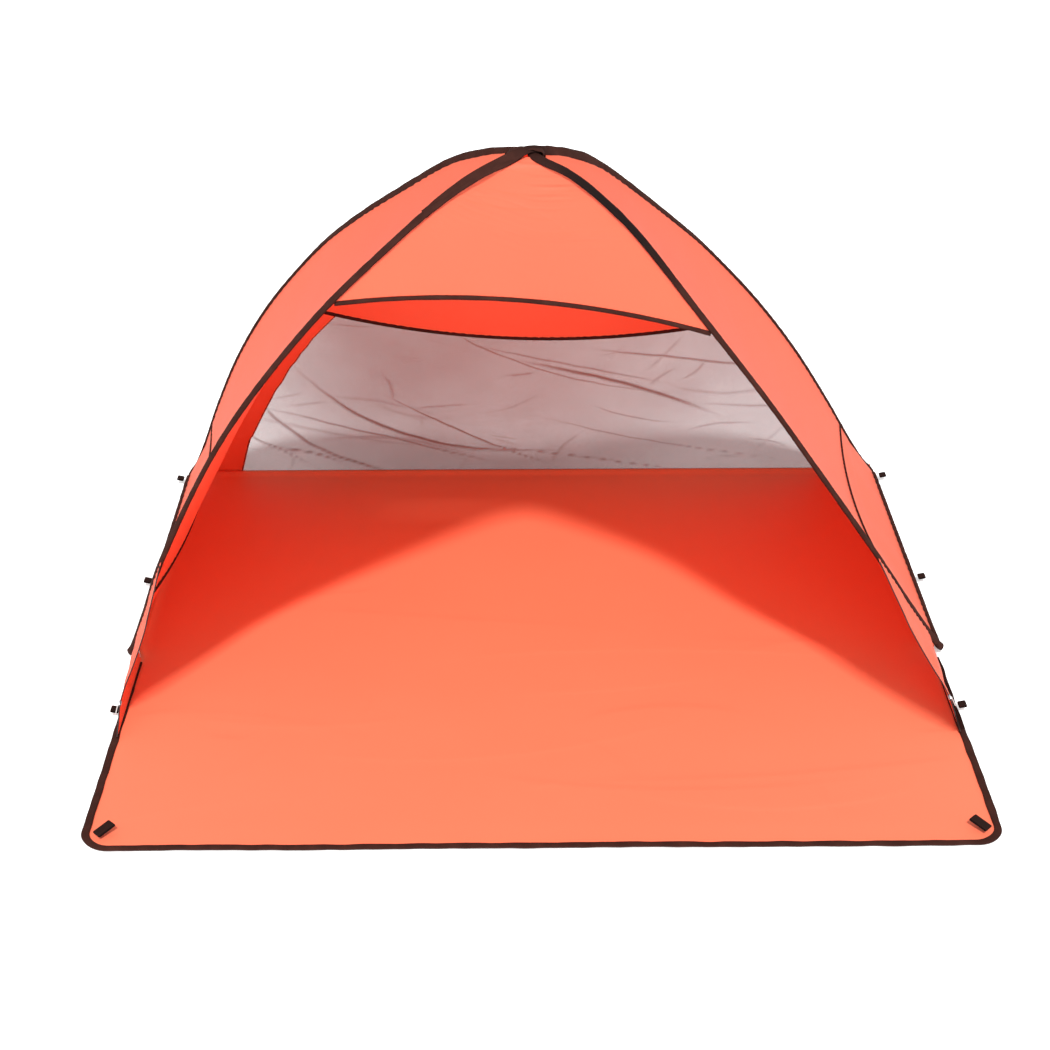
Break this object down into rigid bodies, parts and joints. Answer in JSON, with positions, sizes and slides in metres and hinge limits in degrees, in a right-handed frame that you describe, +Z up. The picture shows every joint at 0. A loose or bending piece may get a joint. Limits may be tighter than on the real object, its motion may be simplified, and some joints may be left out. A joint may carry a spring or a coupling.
{
  "type": "tarp shelter",
  "caption": "Pop-up tarp shelter: spring-wire hoops in sleeves hold cloth wings, a canopy and a mesh back window over a ground sheet with a fold-up apron.",
  "frame": {"origin": "on the ground, at the middle of the shelter's footprint", "axes": "+Z up, -Y out of the door, +X to the right as seen from the door"},
  "size_m": [1.7552, 1.516, 1.0965],
  "materials": {
    "orange_cloth": "thin coated polyester taffeta, satin",
    "brown_tape": "dark woven binding tape and sleeve cloth, matt",
    "window_mesh": "fine black insect mesh, see-through",
    "spring_steel": "tempered spring wire"
  },
  "bodies": {
    "shelter": {"left_hoop_wire": "spring_steel", "left_wire_ferrule": "spring_steel", "left_front_rib_sleeve": "brown_tape", "left_ground_sleeve": "brown_tape", "left_back_rib_sleeve": "brown_tape", "left_wing": "orange_cloth", "left_wing_seam_tape": "brown_tape", "left_skirt": "orange_cloth", "left_gusset": "orange_cloth", "left_door_zip": "brown_tape", "right_hoop_wire": "spring_steel", "right_wire_ferrule": "spring_steel", "right_front_rib_sleeve": "brown_tape", "right_ground_sleeve": "brown_tape", "right_back_rib_sleeve": "brown_tape", "right_wing": "orange_cloth", "right_wing_seam_tape": "brown_tape", "right_skirt": "orange_cloth", "right_gusset": "orange_cloth", "right_door_zip": "brown_tape", "back_left_strip": "orange_cloth", "back_right_strip": "orange_cloth", "front_canopy": "orange_cloth", "front_canopy_hem": "brown_tape", "back_canopy": "orange_cloth", "window_top_tape": "brown_tape", "window_mesh": "window_mesh", "ground_sheet": "orange_cloth", "ground_sheet_back_tape": "brown_tape", "crown_tie": "brown_tape"},
    "apron": {"apron": "orange_cloth", "apron_edge_tape": "brown_tape"},
    "left_front_stake_loop": {"left_front_stake_loop": "brown_tape"},
    "left_side_stake_loop": {"left_side_stake_loop": "brown_tape"},
    "left_middle_stake_loop": {"left_middle_stake_loop": "brown_tape"},
    "left_back_stake_loop": {"left_back_stake_loop": "brown_tape"},
    "right_front_stake_loop": {"right_front_stake_loop": "brown_tape"},
    "right_side_stake_loop": {"right_side_stake_loop": "brown_tape"},
    "right_middle_stake_loop": {"right_middle_stake_loop": "brown_tape"},
    "right_back_stake_loop": {"right_back_stake_loop": "brown_tape"}
  },
  "joints": [
    {"name": "apron_fold", "type": "hinge", "parent": "shelter", "child": "apron", "pos_m": [0, -0.1285, 0.0006], "axis": [-1, 0, 0], "range_deg": [0, 80], "deforming": ["left_gusset", "right_gusset", "left_door_zip", "right_door_zip"]},
    {"name": "left_front_stake_loop_flip", "type": "hinge", "parent": "apron", "child": "left_front_stake_loop", "pos_m": [-0.81336, -0.72986, 0.0128], "axis": [0.7071, -0.7071, 0], "range_deg": [0, 160]},
    {"name": "left_side_stake_loop_flip", "type": "hinge", "parent": "apron", "child": "left_side_stake_loop", "pos_m": [-0.846, -0.325, 0.0128], "axis": [0, 1, 0], "range_deg": [0, 100]},
    {"name": "left_middle_stake_loop_flip", "type": "hinge", "parent": "shelter", "child": "left_middle_stake_loop", "pos_m": [-0.8635, 0.193, 0.0128], "axis": [0, 1, 0], "range_deg": [0, 100]},
    {"name": "left_back_stake_loop_flip", "type": "hinge", "parent": "shelter", "child": "left_back_stake_loop", "pos_m": [-0.8635, 0.698, 0.0128], "axis": [0, 1, 0], "range_deg": [0, 100]},
    {"name": "right_front_stake_loop_flip", "type": "hinge", "parent": "apron", "child": "right_front_stake_loop", "pos_m": [0.81336, -0.72986, 0.0128], "axis": [0.7071, 0.7071, 0], "range_deg": [0, 160]},
    {"name": "right_side_stake_loop_flip", "type": "hinge", "parent": "apron", "child": "right_side_stake_loop", "pos_m": [0.846, -0.325, 0.0128], "axis": [0, -1, 0], "range_deg": [0, 100]},
    {"name": "right_middle_stake_loop_flip", "type": "hinge", "parent": "shelter", "child": "right_middle_stake_loop", "pos_m": [0.8635, 0.193, 0.0128], "axis": [0, -1, 0], "range_deg": [0, 100]},
    {"name": "right_back_stake_loop_flip", "type": "hinge", "parent": "shelter", "child": "right_back_stake_loop", "pos_m": [0.8635, 0.698, 0.0128], "axis": [0, -1, 0], "range_deg": [0, 100]}
  ]
}
